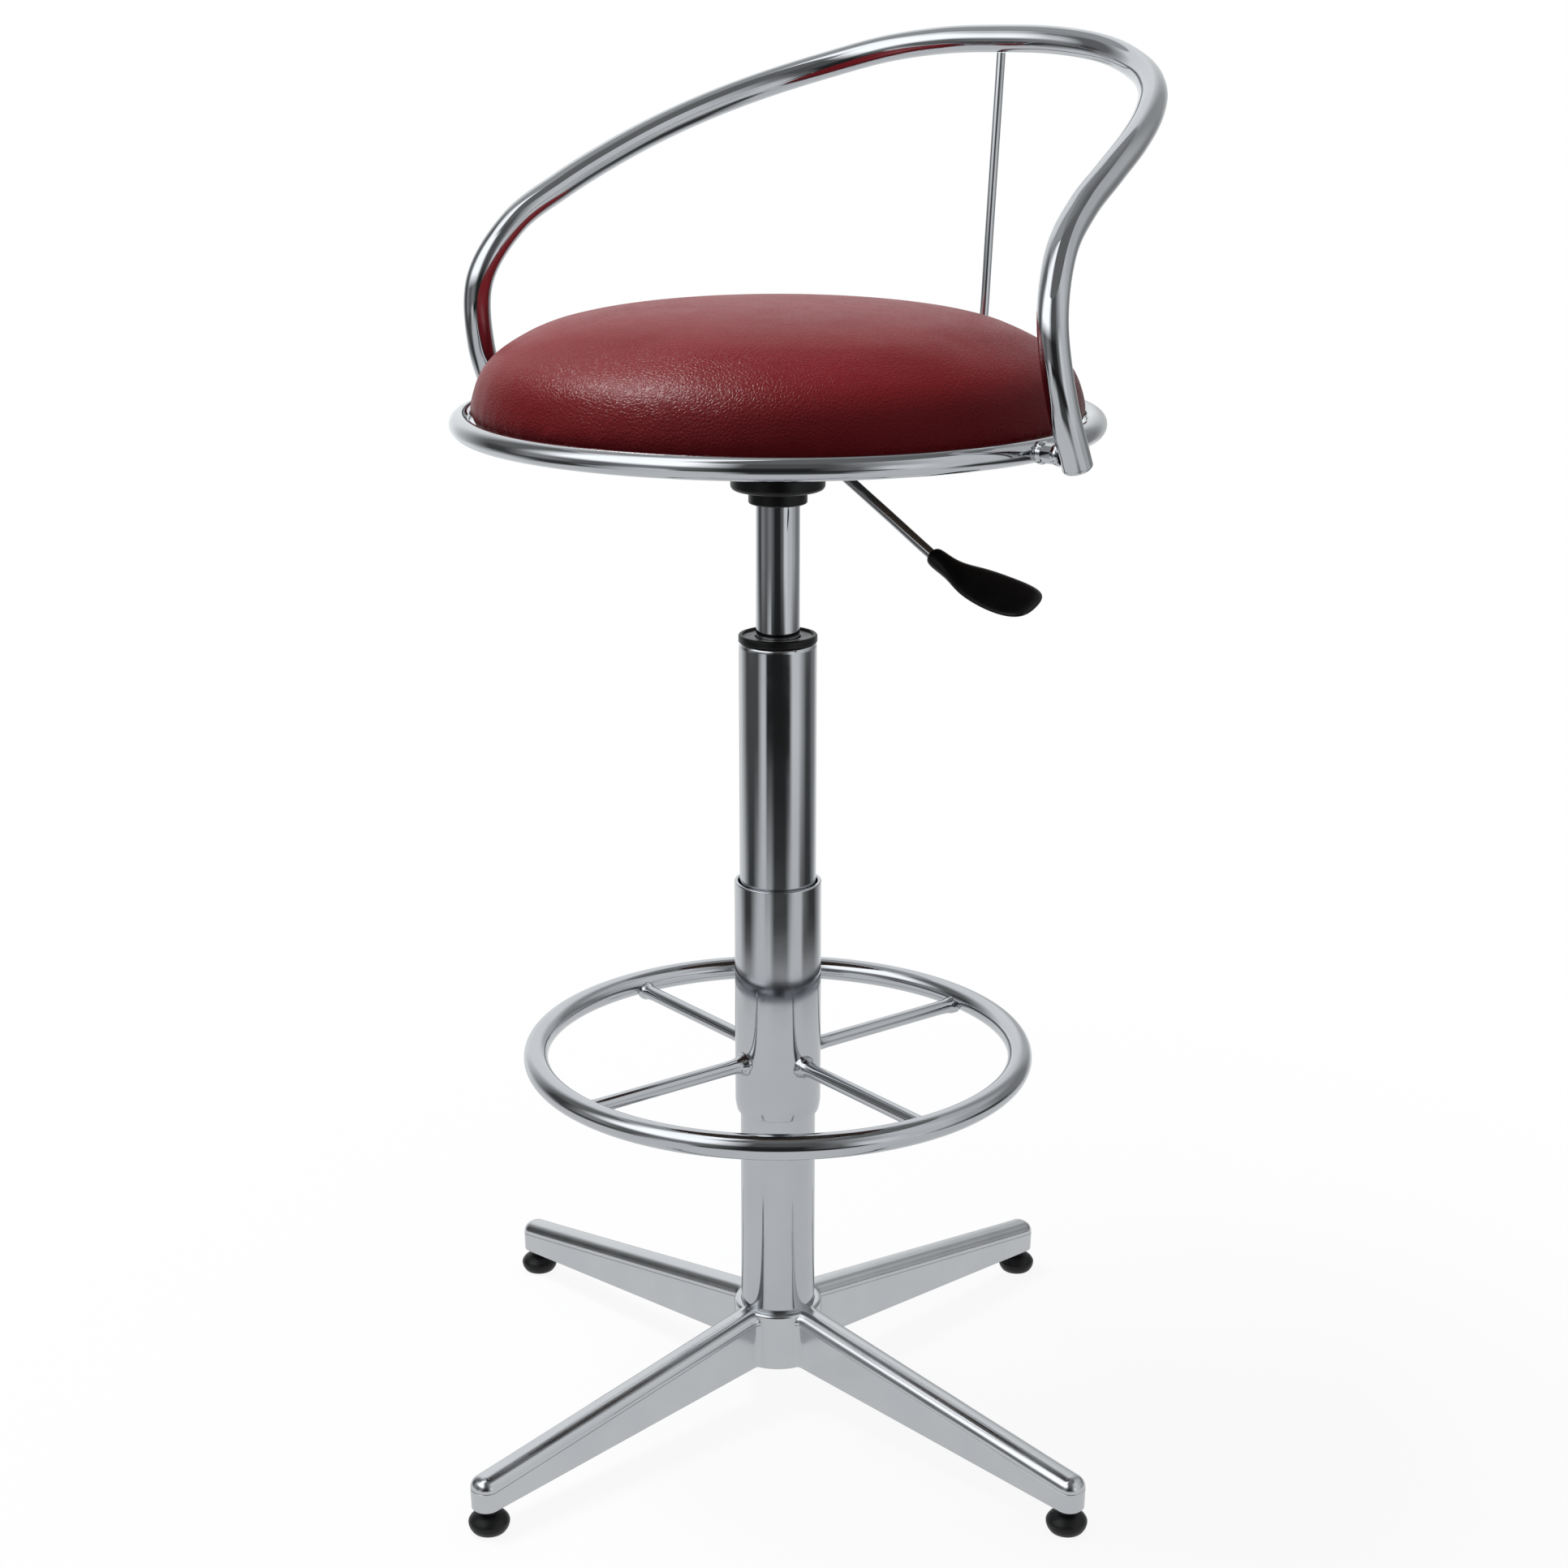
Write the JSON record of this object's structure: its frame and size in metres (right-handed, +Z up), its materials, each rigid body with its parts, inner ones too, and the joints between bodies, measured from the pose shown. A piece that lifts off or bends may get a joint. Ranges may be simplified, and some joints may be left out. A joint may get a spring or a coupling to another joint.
{
  "type": "diner counter stool",
  "caption": "Swivelling diner counter stool: chromed column on a cast cross base, ring footrest, gas lift, round padded seat in a chromed ring, and a low bent tube back.",
  "frame": {"origin": "on the floor, on the column's axis", "axes": "+Z up, -Y the way the sitter faces, so the back stands towards +Y and the lift lever points towards +X"},
  "size_m": [0.5346, 0.5346, 0.9087],
  "materials": {
    "chrome": "bright decorative chrome plate, polished",
    "polished_aluminium": "sand casting, polished by hand, softly waved",
    "steel": "zinc plated or bright turned steel",
    "black_plastic": "moulded, satin black",
    "black_rubber": "moulded, dull black",
    "white_plastic": "turned acetal, natural white",
    "black_steel": "black powder coat",
    "plywood": "bare birch plywood",
    "red_vinyl": "embossed vinyl with a fine grain, satin"
  },
  "bodies": {
    "base": {"star_base": "polished_aluminium", "glide_1": "black_plastic", "glide_2": "black_plastic", "glide_3": "black_plastic", "glide_4": "black_plastic", "glide_stud_1": "steel", "glide_stud_2": "steel", "glide_stud_3": "steel", "glide_stud_4": "steel", "column_tube": "chrome", "column_foot_plate": "steel", "column_guide_sleeve": "white_plastic", "column_cap": "black_plastic", "footrest_collar": "chrome", "foot_ring": "chrome", "foot_spoke_1": "chrome", "foot_spoke_2": "chrome", "foot_spoke_3": "chrome", "foot_spoke_4": "chrome", "bearing_lower_race": "steel", "bearing_cage": "steel"},
    "spindle": {"bearing_upper_race": "steel", "rod_bump_stop": "black_rubber", "piston_rod": "steel", "piston": "black_rubber", "rod_washer": "steel", "rod_clip": "steel"},
    "seat": {"pressure_tube": "chrome", "rod_guide": "white_plastic", "valve_block": "white_plastic", "taper_socket": "steel", "socket_cover": "black_plastic", "seat_plate": "black_steel", "lever_ear_1": "black_steel", "lever_ear_2": "black_steel", "seat_ring": "chrome", "seat_arm_1": "black_steel", "seat_arm_2": "black_steel", "seat_arm_3": "black_steel", "seat_arm_4": "black_steel", "seat_board": "plywood", "board_insert_1": "steel", "board_insert_2": "steel", "board_insert_3": "steel", "board_insert_4": "steel", "seat_bolt_1": "steel", "seat_bolt_2": "steel", "seat_bolt_3": "steel", "seat_bolt_4": "steel", "seat_cushion": "red_vinyl", "backrest_tube": "chrome", "backrest_end_cap_1": "chrome", "backrest_end_cap_2": "chrome", "backrest_stud_1": "chrome", "backrest_stud_2": "chrome", "backrest_rod": "chrome"},
    "lever": {"lever_pivot": "steel", "lever_rod": "steel", "lever_grip": "black_plastic"},
    "valve_pin": {"release_pin": "steel"}
  },
  "joints": [
    {"name": "seat_swivel", "type": "hinge", "parent": "base", "child": "spindle", "pos_m": [0, 0, 0.05], "axis": [0, 0, 1], "continuous": true},
    {"name": "seat_lift", "type": "slide", "parent": "spindle", "child": "seat", "axis": [0, 0, 1], "range_m": [-0.08, 0.06]},
    {"name": "lever_tilt", "type": "hinge", "parent": "seat", "child": "lever", "pos_m": [0.026, 0, 0.65], "axis": [0, -1, 0], "range_deg": [0, 6.5], "stiffness_Nm_per_rad": 6, "springref_deg": -5.73},
    {"name": "valve_press", "type": "slide", "parent": "seat", "child": "valve_pin", "axis": [0, 0, -1], "range_m": [0, 0.003]}
  ],
  "couplings": [
    {"joint": "valve_press", "follows": "lever_tilt", "m_per_rad": 0.026}
  ]
}
